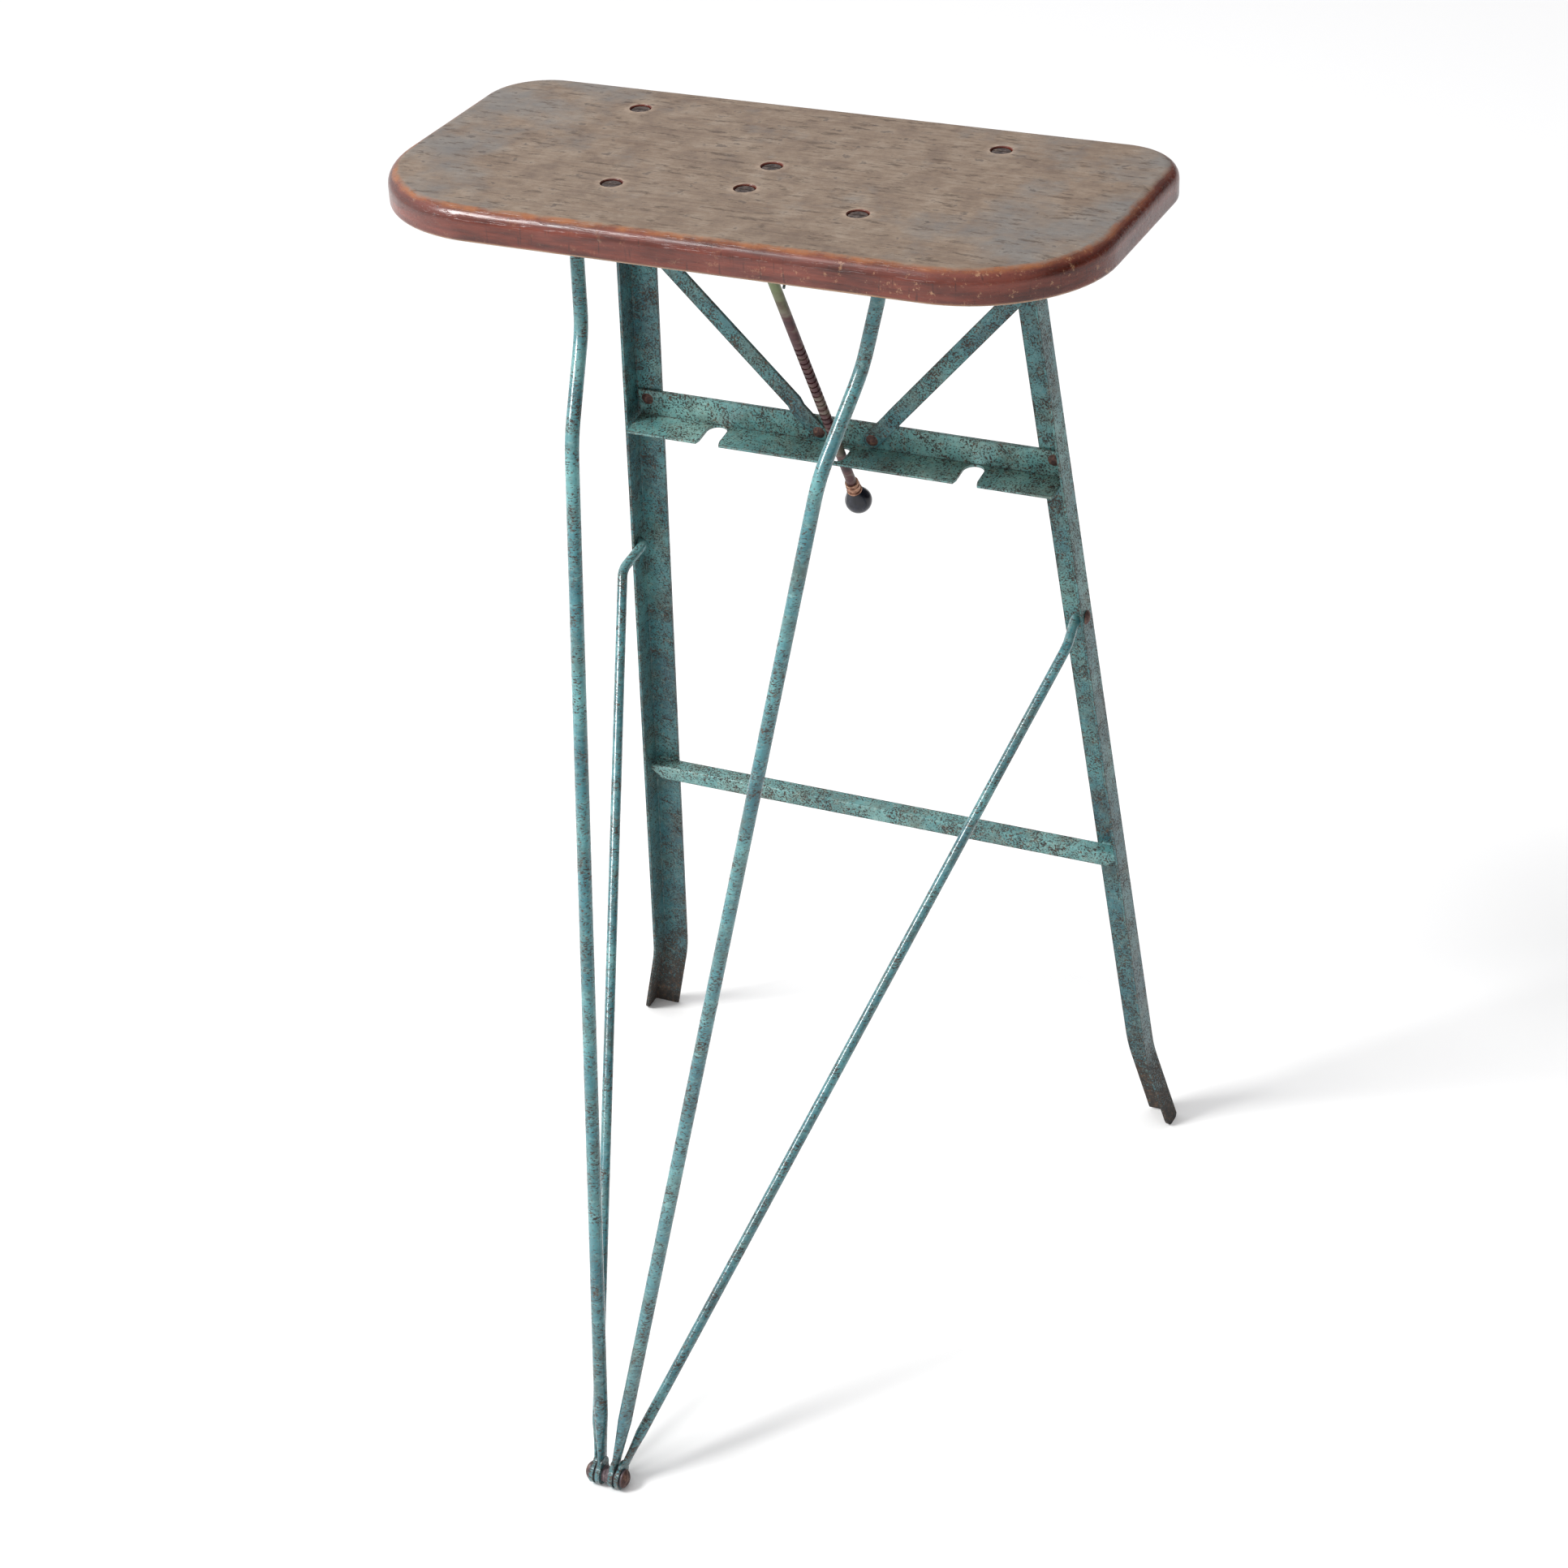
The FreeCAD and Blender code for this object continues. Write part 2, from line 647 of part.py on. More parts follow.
def front_rod(side):
    """Front rod, from its foot eye up to the end held in the clip; side is +1 for the right one."""
    lower = on_side(front_rod_lower_bend, side)
    upper = on_side(front_rod_upper_bend, side)
    shoulder = on_side(front_rod_shoulder, side)
    corner = on_side((front_rod_corner_x, *front_hinge), side)
    inner = on_side((front_rod_inner_x, *front_hinge), side)
    target = on_side((front_eye_x, axle_y + 2.0, axle_z + 6.0), side)
    line = (target - lower).normalize()
    line_end = target - line * front_rod_taper
    route = [line_end, lower, upper, shoulder, corner, inner]
    bar = round_bar(route, front_rod_bend_radii, front_rod_radius)
    foot = flattened_end(line_end, line, front_rod_radius, side * front_eye_x, front_eye_thickness,
                         axle_radius + press_clearance)
    return bar.fuse(foot).removeSplitter()


def strut(side):
    """Strut, from its foot eye up to the short pivot end inside the leg; side is +1 for the right one."""
    pivot = frame_point(0, strut_pivot_along, strut_pivot_forward)
    outer = on_side((strut_end_x, pivot.y, pivot.z), side)
    inner = on_side((strut_pivot_x, pivot.y, pivot.z), side)
    bend = on_side(strut_bend, side)
    target = on_side((strut_eye_x, axle_y + 2.0, axle_z + 6.0), side)
    line = (target - bend).normalize()
    line_end = target - line * strut_taper
    bar = round_bar([line_end, bend, inner, outer], strut_bend_radii, strut_radius)
    foot = flattened_end(line_end, line, strut_radius, side * strut_eye_x, strut_eye_thickness,
                         axle_radius + running_clearance)
    return bar.fuse(foot).removeSplitter()


def foot_axle():
    low = Vec(-axle_head_x - 0.5, axle_y, axle_z)
    shank = Part.makeCylinder(axle_radius, 2 * axle_head_x + 1, low, x_dir)
    heads = []
    for side in (-1, 1):
        base = Vec(side * axle_head_x, axle_y, axle_z)
        heads.append(domed_head(base, x_dir * side, 6.0, axle_half_length - axle_head_x))
    return shank.fuse(heads).removeSplitter()


def ring(x0, x1, radius):
    """Washer or spacer on the foot axle between two places along X."""
    outer = Part.makeCylinder(radius, x1 - x0, Vec(x0, axle_y, axle_z), x_dir)
    rims = [e for e in outer.Edges if e.BoundBox.XLength < 0.01]
    outer = outer.makeFillet(0.3, rims)
    bore_start = Vec(x0 - 1, axle_y, axle_z)
    return outer.cut(Part.makeCylinder(axle_radius + press_clearance, x1 - x0 + 2, bore_start, x_dir))


def foot_washers():
    solids = []
    inside = front_eye_x + front_eye_thickness / 2 + 0.05
    between = strut_eye_x - strut_eye_thickness / 2 - 0.2
    outside = strut_eye_x + strut_eye_thickness / 2 + 0.2
    for x0, x1 in ((inside, between), (outside, axle_head_x - 0.05)):
        solids.append(ring(x0, x1, washer_radius))
        solids.append(ring(-x1, -x0, washer_radius))
    return Part.makeCompound(solids)


def foot_spacers():
    reach = front_eye_x - front_eye_thickness / 2 - 0.05
    return Part.makeCompound([ring(-reach, -0.05, 5.4), ring(0.05, reach, 5.4)])


def latch_bracket():
    """Channel under the board that holds the top of the latch rod between two ears."""
    y, z = latch_pivot
    half = ear_gap / 2
    plate = plate_under_board(-half - ear_thickness, half + ear_thickness,
                              centre_screw_rows[0] - bracket_margin, centre_screw_rows[1] + bracket_margin,
                              1.2, [(0.0, row) for row in centre_screw_rows])
    ears = []
    holes = []
    for x0 in (-half - ear_thickness, half):
        corner = Vec(x0, y, z)
        disc = Part.makeCylinder(bracket_ear_radius, ear_thickness, corner, x_dir)
        neck = Part.makeBox(ear_thickness, 2 * bracket_ear_radius, board_underside - z - 0.5,
                            Vec(x0, y - bracket_ear_radius, z))
        ears += [disc, neck]
        bore_radius = latch_pin_radius + press_clearance
        holes.append(Part.makeCylinder(bore_radius, ear_thickness + 2, corner - x_dir, x_dir))
    shape = plate.fuse(ears)
    for hole in holes:
        shape = shape.cut(hole)
    return shape.removeSplitter()


def latch_pivot_heads():
    """Rivet ends of the latch pivot, one in each ear of the bracket."""
    y, z = latch_pivot
    half = ear_gap / 2
    solids = []
    for side in (-1, 1):
        inner = Vec(side * half, y, z)
        outer = inner + x_dir * (side * ear_thickness)
        shank = cylinder_between(inner, outer, latch_pin_radius)
        solids.append(shank.fuse(domed_head(outer, x_dir * side, 3.6, 1.6)).removeSplitter())
    return Part.makeCompound(solids)


def latch_axis():
    top = Vec(0, *latch_pivot)
    knob = Vec(0, *knob_centre)
    return top, knob, (knob - top).normalize()


def latch_rod():
    """Round rod with catching grooves, flattened to an eye at the top."""
    top, knob, direction = latch_axis()
    length = (knob - top).Length - rod_in_knob
    rod = cylinder_between(top + direction * 7.0, top + direction * length, latch_radius)
    for index in range(groove_count):
        at = top + direction * (groove_start + index * groove_pitch)
        outer = Part.makeCylinder(latch_radius + 1, groove_width, at, direction)
        core = Part.makeCylinder(latch_radius - groove_depth, groove_width, at, direction)
        rod = rod.cut(outer.cut(core))
    eye = Part.makeCylinder(latch_eye_radius, latch_eye_width, top - x_dir * (latch_eye_width / 2), x_dir)
    neck_start, neck_end = latch_neck
    neck = cylinder_between(top + direction * neck_start, top + direction * neck_end, latch_neck_radius)
    bore_radius = latch_pin_radius + press_clearance
    bore = Part.makeCylinder(bore_radius, 2 * latch_eye_width, top - x_dir * latch_eye_width, x_dir)
    return rod.fuse([eye, neck]).cut(bore).removeSplitter()


def latch_pin():
    """Pivot pin with a collar on each side of the rod's eye."""
    y, z = latch_pivot
    reach = ear_gap / 2 - pivot_gap
    collar_start = latch_eye_width / 2 + 0.05
    pin = Part.makeCylinder(latch_pin_radius, 2 * reach, Vec(-reach, y, z), x_dir)
    collars = []
    for x0 in (-reach, collar_start):
        collars.append(Part.makeCylinder(collar_radius, reach - collar_start, Vec(x0, y, z), x_dir))
    return pin.fuse(collars).removeSplitter()


def latch_ferrule():
    """Turned brass ferrule between the rod and the knob, with three raised rings."""
    top, knob, direction = latch_axis()
    end = knob - direction * knob_neck_face
    start = end - direction * ferrule_length
    body = Part.makeCone(*ferrule_radii, ferrule_length, start, direction)
    rings = []
    for share, radius in ferrule_rings:
        at = start + direction * (share * ferrule_length)
        band = Part.makeCylinder(radius, ferrule_ring_width, at, direction)
        rims = [e for e in band.Edges if len(e.Vertexes) == 1]
        rings.append(band.makeFillet(0.4, rims))
    shape = body.fuse(rings)
    bore = cylinder_between(start - direction * 2, end + direction * 2, latch_radius + press_clearance)
    return shape.cut(bore).removeSplitter()


def ball_knob():
    """Ball that runs into a cone tangent to it, down to the neck against the ferrule."""
    top, knob, direction = latch_axis()
    to_neck = math.hypot(knob_neck_face, knob_neck_radius)
    tangent = math.atan2(knob_neck_radius, knob_neck_face) + math.acos(knob_radius / to_neck)
    cone_length = knob_neck_face - knob_radius * math.cos(tangent)
    neck_face = knob - direction * knob_neck_face
    cone_end_radius = knob_radius * math.sin(tangent)
    neck = Part.makeCone(knob_neck_radius, cone_end_radius, cone_length, neck_face, direction)
    shape = Part.makeSphere(knob_radius, knob).fuse(neck)
    socket_end = knob - direction * (rod_in_knob - 0.1)
    socket = cylinder_between(neck_face - direction, socket_end, latch_radius + press_clearance)
    return shape.cut(socket).removeSplitter()


def latch_spring():
    """Wire bow that grips the latch rod and bears on the board above it."""
    top, knob, direction = latch_axis()
    behind = Vec(0, -direction.z, direction.y)
    reach = latch_radius + wire_radius + press_clearance
    hold = top + direction * spring_hold_along
    near_x, far_x, tip_x = spring_hold_x
    points = [Vec(*spring_end), Vec(*spring_turn), hold + x_dir * near_x + behind * reach,
              hold + x_dir * far_x + behind * reach, hold + x_dir * tip_x - behind * 3.0]
    return round_bar(points, spring_bend_radii, wire_radius)


def save(name, shape):
    shape.exportStep(os.path.join("parts", name + ".step"))
    print(name, round(shape.Volume, 1), "valid" if shape.isValid() else "NOT VALID", len(shape.Solids))


def save_pair(name, shape):
    save("right_" + name, shape)
    save("left_" + name, mirrored(shape))


os.makedirs("parts", exist_ok=True)
save("board_top", board_top())
save("board_screws", board_screws())
save("board_nuts", board_nuts())
save_pair("hinge_bracket", hinge_bracket())
pin = hinge_pin()
save("hinge_pins", Part.makeCompound([pin, mirrored(pin)]))
save_pair("rod_clip", rod_clip())
save("latch_bracket", latch_bracket())
save("latch_pivot_heads", latch_pivot_heads())
save("latch_spring", latch_spring())
save("right_leg", leg(1))
save("left_leg", leg(-1))
save("upper_crossbar", upper_crossbar())
save("lower_crossbar", lower_crossbar())
save("right_brace", brace(1))
save("left_brace", brace(-1))
save("crossbar_rivets", crossbar_rivets())
save("brace_rivets", brace_rivets())
save("lower_bar_welds", lower_bar_welds())
stub = strut_rivet()
save("strut_rivets", Part.makeCompound([stub, mirrored(stub)]))
for side, side_name in ((1, "right"), (-1, "left")):
    save(side_name + "_front_rod", front_rod(side))
    save(side_name + "_strut", strut(side))
save("foot_axle", foot_axle())
save("foot_washers", foot_washers())
save("foot_spacers", foot_spacers())
save("latch_rod", latch_rod())
save("latch_pin", latch_pin())
save("latch_ferrule", latch_ferrule())
save("ball_knob", ball_knob())
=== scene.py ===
import math

import bmesh
import bpy
from mathutils import Matrix, Vector


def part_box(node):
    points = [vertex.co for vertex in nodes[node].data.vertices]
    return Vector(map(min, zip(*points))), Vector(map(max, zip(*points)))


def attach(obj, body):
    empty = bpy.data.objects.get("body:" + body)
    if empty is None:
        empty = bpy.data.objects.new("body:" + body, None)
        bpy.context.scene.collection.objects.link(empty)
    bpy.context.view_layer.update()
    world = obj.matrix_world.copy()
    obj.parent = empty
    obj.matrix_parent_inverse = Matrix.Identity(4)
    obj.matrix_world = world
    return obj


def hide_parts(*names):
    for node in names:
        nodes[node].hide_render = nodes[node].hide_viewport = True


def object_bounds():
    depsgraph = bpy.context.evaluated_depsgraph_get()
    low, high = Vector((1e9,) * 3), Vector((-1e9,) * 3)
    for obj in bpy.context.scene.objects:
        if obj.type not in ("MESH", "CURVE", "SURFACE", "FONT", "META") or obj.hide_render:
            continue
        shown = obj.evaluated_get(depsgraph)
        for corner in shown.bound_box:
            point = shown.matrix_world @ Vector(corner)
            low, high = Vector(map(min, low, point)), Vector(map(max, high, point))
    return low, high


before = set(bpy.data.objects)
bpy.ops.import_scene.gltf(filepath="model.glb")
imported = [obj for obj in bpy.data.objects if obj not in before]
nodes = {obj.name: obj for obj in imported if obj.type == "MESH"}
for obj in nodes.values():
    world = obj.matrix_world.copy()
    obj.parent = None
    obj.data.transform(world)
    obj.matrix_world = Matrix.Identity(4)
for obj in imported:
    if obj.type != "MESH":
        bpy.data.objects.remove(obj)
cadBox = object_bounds()
boardLow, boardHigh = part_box("board_top")
mm = 0.001
closeEnough = 1e-6  # metres between points that count as one
print("frame loaded:", len(nodes), "nodes")


def linear(hexColour):
    channels = [int(hexColour[i:i + 2], 16) / 255 for i in (1, 3, 5)]
    curve = [c / 12.92 if c <= 0.04045 else ((c + 0.055) / 1.055) ** 2.4 for c in channels]
    return (*curve, 1.0)


def addNode(tree, kind, inputs=None, stops=None, **settings):
    node = tree.nodes.new("ShaderNode" + kind)
    for name, value in settings.items():
        setattr(node, name, value)
    for socket, value in (inputs or {}).items():
        if isinstance(value, bpy.types.NodeSocket):
            tree.links.new(value, node.inputs[socket])
        else:
            node.inputs[socket].default_value = value
    if stops:
        elements = node.color_ramp.elements
        while len(elements) < len(stops):
            elements.new(0.5)
        for element, (position, colour) in zip(elements, stops):
            element.position = position
            element.color = linear(colour) if isinstance(colour, str) else (colour, colour, colour, 1)
    return node


def newMaterial(name):
    material = bpy.data.materials.new(name)
    material.use_nodes = True
    tree = material.node_tree
    tree.nodes.clear()
    shader = addNode(tree, "BsdfPrincipled")
    addNode(tree, "OutputMaterial", {"Surface": shader.outputs[0]})
    return material, tree, shader


def perMetre(millimetres):
    return 1000.0 / millimetres  # noise scale for a pattern of that size


def noise(tree, place, size, detail=3.0, roughness=0.55):  # size in millimetres
    inputs = {"Vector": place, "Scale": perMetre(size), "Detail": detail, "Roughness": roughness}
    return addNode(tree, "TexNoise", inputs).outputs["Fac"]


def ramp(tree, value, stops):
    return addNode(tree, "ValToRGB", {"Fac": value}, stops).outputs[0]


def remap(tree, value, low, high, toLow=0.0, toHigh=1.0):  # a mask starts at low and is full at high
    inputs = {"Value": value, "From Min": low, "From Max": high, "To Min": toLow, "To Max": toHigh}
    return addNode(tree, "MapRange", inputs).outputs[0]


def calc(tree, operation, *values):
    inputs = dict(enumerate(values))
    return addNode(tree, "Math", inputs, operation=operation).outputs[0]


def blendColours(tree, share, first, second):
    inputs = {0: share, 6: first, 7: second}
    return addNode(tree, "Mix", inputs, data_type="RGBA").outputs[2]


def edgeMask(tree, radius, low, high):
    # how far the rounded normal leaves the true one: near 1 on a convex or concave edge
    rounded = addNode(tree, "Bevel", {"Radius": radius}, samples=4).outputs[0]
    flat = addNode(tree, "NewGeometry").outputs["Normal"]
    meet = addNode(tree, "VectorMath", {0: rounded, 1: flat}, operation="DOT_PRODUCT").outputs["Value"]
    return remap(tree, meet, low, high)


enamelPatterns = {"tone": 46, "grime": 20, "bloom": 3.2, "patches": 14, "edges": 7, "rust": 3.2,
                  "brush": 1.6}  # sizes in millimetres
enamelRust = [(0.3, "#191817"), (0.52, "#322a24"), (0.74, "#604937")]


def makeGreenEnamel(name, wear):
    # brushed-on oil enamel over mill steel: soft gloss gone chalky, pinholes and chips rusted through
    material, tree, shader = newMaterial(name)
    place = addNode(tree, "TexCoord").outputs["Object"]
    height = addNode(tree, "SeparateXYZ", {0: place}).outputs[2]
    stretched = addNode(tree, "Mapping", {"Vector": place, "Scale": wear["stretch"]}).outputs[0]
    tone = noise(tree, place, enamelPatterns["tone"], 4.0, 0.6)
    paint = ramp(tree, tone, [(0.3, wear["dark"]), (0.5, wear["middle"]), (0.68, wear["light"])])
    lowDark = remap(tree, height, 0.5, 0.05, 0.0, wear["lowDark"])  # the colour is darker towards the floor
    dimmed = blendColours(tree, lowDark, paint, linear(wear["dark"]))
    grime = remap(tree, noise(tree, place, enamelPatterns["grime"], 6.0, 0.72), 0.47, 0.68, 0.0, 0.62)
    dirty = blendColours(tree, grime, dimmed, linear(wear["grime"]))
    bloom = remap(tree, noise(tree, stretched, enamelPatterns["bloom"], 3.0, 0.7), 0.5, 0.75, 0.0, 0.4)
    chalky = blendColours(tree, bloom, dirty, linear(wear["chalk"]))
    specks = noise(tree, stretched, wear["speck"], 2.0, 0.7)
    patches = noise(tree, place, enamelPatterns["patches"], 5.0, 0.66)
    low = remap(tree, height, 0.09, 0.0, 0.0, wear["foot"])  # rust climbs from the feet
    patchLift = calc(tree, "MULTIPLY_ADD", calc(tree, "SUBTRACT", patches, 0.5), 0.5, specks)
    lifted = calc(tree, "ADD", patchLift, low)
    chips = remap(tree, lifted, wear["from"], wear["to"])
    edge = edgeMask(tree, 0.0017, 0.99, 0.84)
    edgeWear = calc(tree, "MULTIPLY", edge, noise(tree, place, enamelPatterns["edges"], 5.0, 0.7))
    edgeChips = remap(tree, edgeWear, 0.26, 0.48)
    bare = addNode(tree, "Math", {0: chips, 1: edgeChips}, operation="MAXIMUM", use_clamp=True).outputs[0]
    rust = ramp(tree, noise(tree, place, enamelPatterns["rust"], 4.0, 0.6), enamelRust)
    colour = blendColours(tree, bare, chalky, rust)
    tree.links.new(colour, shader.inputs["Base Color"])
    tree.links.new(remap(tree, bare, 0.0, 1.0, wear["gloss"], 0.78), shader.inputs["Roughness"])
    shader.inputs["Coat Weight"].default_value = wear["coat"]
    shader.inputs["Coat Roughness"].default_value = 0.16
    brushed = noise(tree, place, enamelPatterns["brush"], 2.0)  # bristle marks, drawn coarse enough to show
    relief = calc(tree, "MULTIPLY_ADD", bare, -1.2, calc(tree, "MULTIPLY_ADD", brushed, 0.5, tone))
    bump = addNode(tree, "Bump", {"Height": relief, "Strength": 0.55, "Distance": 0.00035}).outputs[0]
    tree.links.new(bump, shader.inputs["Normal"])
    return material


fittingPatterns = {"pits": 2.6, "scuffs": 5, "film": 3, "mottle": 6, "bands": 9}  # sizes in millimetres


def makeRustedSteel(name, dark, middle, light):
    # forged and drawn steel fittings left bare: matt film of rust with darker pits and rubbed high spots
    material, tree, shader = newMaterial(name)
    place = addNode(tree, "TexCoord").outputs["Object"]
    tone = noise(tree, place, fittingPatterns["pits"], 4.0, 0.65)
    base = ramp(tree, tone, [(0.3, dark), (0.52, middle), (0.72, light)])
    rubbed = calc(tree, "MULTIPLY", edgeMask(tree, 0.0007, 0.98, 0.85), 0.45)
    tree.links.new(blendColours(tree, rubbed, base, linear(light)), shader.inputs["Base Color"])
    tree.links.new(remap(tree, tone, 0.3, 0.7, 0.72, 0.45), shader.inputs["Roughness"])
    shader.inputs["Metallic"].default_value = 0.3
    bump = addNode(tree, "Bump", {"Height": tone, "Strength": 0.6, "Distance": 0.0004}).outputs[0]
    tree.links.new(bump, shader.inputs["Normal"])
    return material


screwSettings = {"rear": (123 * mm, 151 * mm), "front": (81 * mm, 25.5 * mm), "centre": (42.5 * mm, 82 * mm),
                 "recess": 6.7 * mm, "depth": 3 * mm, "rim": 0.5 * mm, "hole": 2.55 * mm}


def screwPlaces():
    rearX, rearY = screwSettings["rear"]
    frontX, frontY = screwSettings["front"]
    corners = [(side * x, y) for x, y in ((rearX, rearY), (frontX, frontY)) for side in (-1, 1)]
    return corners + [(0.0, y) for y in screwSettings["centre"]]


def nearestScrew(tree, place):
    # distance in metres to the closest of the points where a screw's axis meets the board's top
    closest = None
    for x, y in screwPlaces():
        inputs = {0: place, 1: (x, y, boardHigh[2])}
        reach = addNode(tree, "VectorMath", inputs, operation="DISTANCE").outputs["Value"]
        closest = reach if closest is None else calc(tree, "MINIMUM", closest, reach)
    return closest


woodPatterns = {"figure": 6, "lines": 2.2, "pores": 0.8, "mottle": 18, "skyReflection": 70, "brown": 48,
                "dashes": 4.2, "pits": 9, "scuffs": 4, "ringGaps": 4, "runs": 5, "bloom": 60, "ticks": 2.2,
                "chips": 5, "wobble": 16, "rim": 22}  # sizes in millimetres, pores coarse enough to show
# the bluish grey among the top's colours is a painted sky reflection
topColours = {"dark": "#6e5d50", "middle": "#82705f", "light": "#918171", "lines": "#644c39",
              "figure": "#5f5046", "pores": "#4d3e34", "skyReflection": "#6b7072", "brown": "#5e4838",
              "dashes": "#453528", "pits": "#3f342f", "scuffs": "#b5a89d", "rings": "#b7a08c"}
sideColours = {"dark": "#34130c", "middle": "#5a2417", "light": "#763626", "bloom": "#73413a",
               "ticks": "#2c120e", "chips": "#b98f6c", "arris": "#94592f"}
rawColours = {"dark": "#6b4a33", "middle": "#8c6647", "light": "#a5805f", "pores": "#4b3323"}


def makeBoardTopColour(tree, place, split):
    # bare, sun-greyed grain, a painted bluish sky reflection towards the ends, pale scuffs and rubbed rings
    # at the screws
    alongGrain = addNode(tree, "Mapping", {"Vector": place, "Scale": (0.05, 1.0, 1.0)}).outputs[0]
    figure = noise(tree, alongGrain, woodPatterns["figure"], 5.0, 0.65)
    fine = noise(tree, alongGrain, woodPatterns["lines"], 4.0, 0.7)
    pores = remap(tree, noise(tree, alongGrain, woodPatterns["pores"], 2.0), 0.42, 0.32)
    mottle = noise(tree, place, woodPatterns["mottle"], 6.0, 0.72)
    stops = [(0.32, topColours["dark"]), (0.5, topColours["middle"]), (0.66, topColours["light"])]
    tone = ramp(tree, mottle, stops)
    lineShare = remap(tree, fine, 0.45, 0.68, 0.0, 0.45)
    lined = blendColours(tree, lineShare, tone, linear(topColours["lines"]))
    figureShare = remap(tree, figure, 0.52, 0.7, 0.0, 0.3)
    banded = blendColours(tree, figureShare, lined, linear(topColours["figure"]))
    poreShare = calc(tree, "MULTIPLY", pores, 0.4)
    porous = blendColours(tree, poreShare, banded, linear(topColours["pores"]))
    across = calc(tree, "ABSOLUTE", split.outputs[0])
    # painted sky reflection: bluish grey laid over the grain in patches, stronger towards either end of the
    # board
    endLift = remap(tree, across, 0.08, 0.22, -0.08, 0.12)  # metres from the middle towards either end
    skyReflection = calc(tree, "ADD", noise(tree, place, woodPatterns["skyReflection"], 5.0, 0.65), endLift)
    skyReflectionShare = remap(tree, skyReflection, 0.5, 0.68, 0.0, 0.55)
    skyReflected = blendColours(tree, skyReflectionShare, porous, linear(topColours["skyReflection"]))
    brownStain = remap(tree, noise(tree, place, woodPatterns["brown"], 5.0, 0.7), 0.54, 0.72, 0.0, 0.32)
    patchy = blendColours(tree, brownStain, skyReflected, linear(topColours["brown"]))
    shortGrain = addNode(tree, "Mapping", {"Vector": place, "Scale": (0.25, 1.0, 1.0)}).outputs[0]
    marks = remap(tree, noise(tree, shortGrain, woodPatterns["dashes"], 4.0, 0.75), 0.56, 0.64, 0.0, 0.7)
    dashed = blendColours(tree, marks, patchy, linear(topColours["dashes"]))
    pits = remap(tree, noise(tree, place, woodPatterns["pits"], 3.0, 0.6), 0.64, 0.7, 0.0, 0.6)
    marked = blendColours(tree, pits, dashed, linear(topColours["pits"]))
    scuffs = remap(tree, noise(tree, place, woodPatterns["scuffs"], 6.0, 0.8), 0.62, 0.7, 0.0, 0.5)
    frontRight = calc(tree, "MULTIPLY", remap(tree, split.outputs[0], 0.0, 0.16, 0.15, 1.0), scuffs)
    scuffed = blendColours(tree, frontRight, marked, linear(topColours["scuffs"]))
    reach = nearestScrew(tree, place)
    ring = ramp(tree, remap(tree, reach, 6 * mm, 11.5 * mm), [(0.0, 1.0), (0.35, 0.75), (1.0, 0.0)])
    gaps = remap(tree, noise(tree, place, woodPatterns["ringGaps"], 3.0), 0.35, 0.6, 0.1, 0.65)
    broken = calc(tree, "MULTIPLY", ring, gaps)
    return blendColours(tree, broken, scuffed, linear(topColours["rings"])), figure, pores


def makeBoardSideColour(tree, place):
    # reddish shellac on the edge, with end-grain ticks and darker runs
    alongEdge = addNode(tree, "Mapping", {"Vector": place, "Scale": (0.12, 0.12, 1.0)}).outputs[0]
    runs = noise(tree, alongEdge, woodPatterns["runs"], 4.0, 0.6)
    broad = noise(tree, place, woodPatterns["bloom"], 3.0)
    stops = [(0.3, sideColours["dark"]), (0.5, sideColours["middle"]), (0.7, sideColours["light"])]
    tone = ramp(tree, runs, stops)
    bloomShare = remap(tree, broad, 0.42, 0.62, 0.0, 0.35)
    bloomed = blendColours(tree, bloomShare, tone, linear(sideColours["bloom"]))
    upright = addNode(tree, "Mapping", {"Vector": place, "Scale": (1.0, 1.0, 0.1)}).outputs[0]
    ticks = remap(tree, noise(tree, upright, woodPatterns["ticks"], 2.0), 0.36, 0.28, 0.0, 0.55)
    ticked = blendColours(tree, ticks, bloomed, linear(sideColours["ticks"]))
    chipped = remap(tree, noise(tree, place, woodPatterns["chips"], 6.0, 0.78), 0.58, 0.64, 0.0, 0.55)
    towardsEnd = remap(tree, addNode(tree, "SeparateXYZ", {0: place}).outputs[0], 0.0, 0.16, 0.25, 1.0)
    chipShare = calc(tree, "MULTIPLY", chipped, towardsEnd)
    return blendColours(tree, chipShare, ticked, linear(sideColours["chips"]))


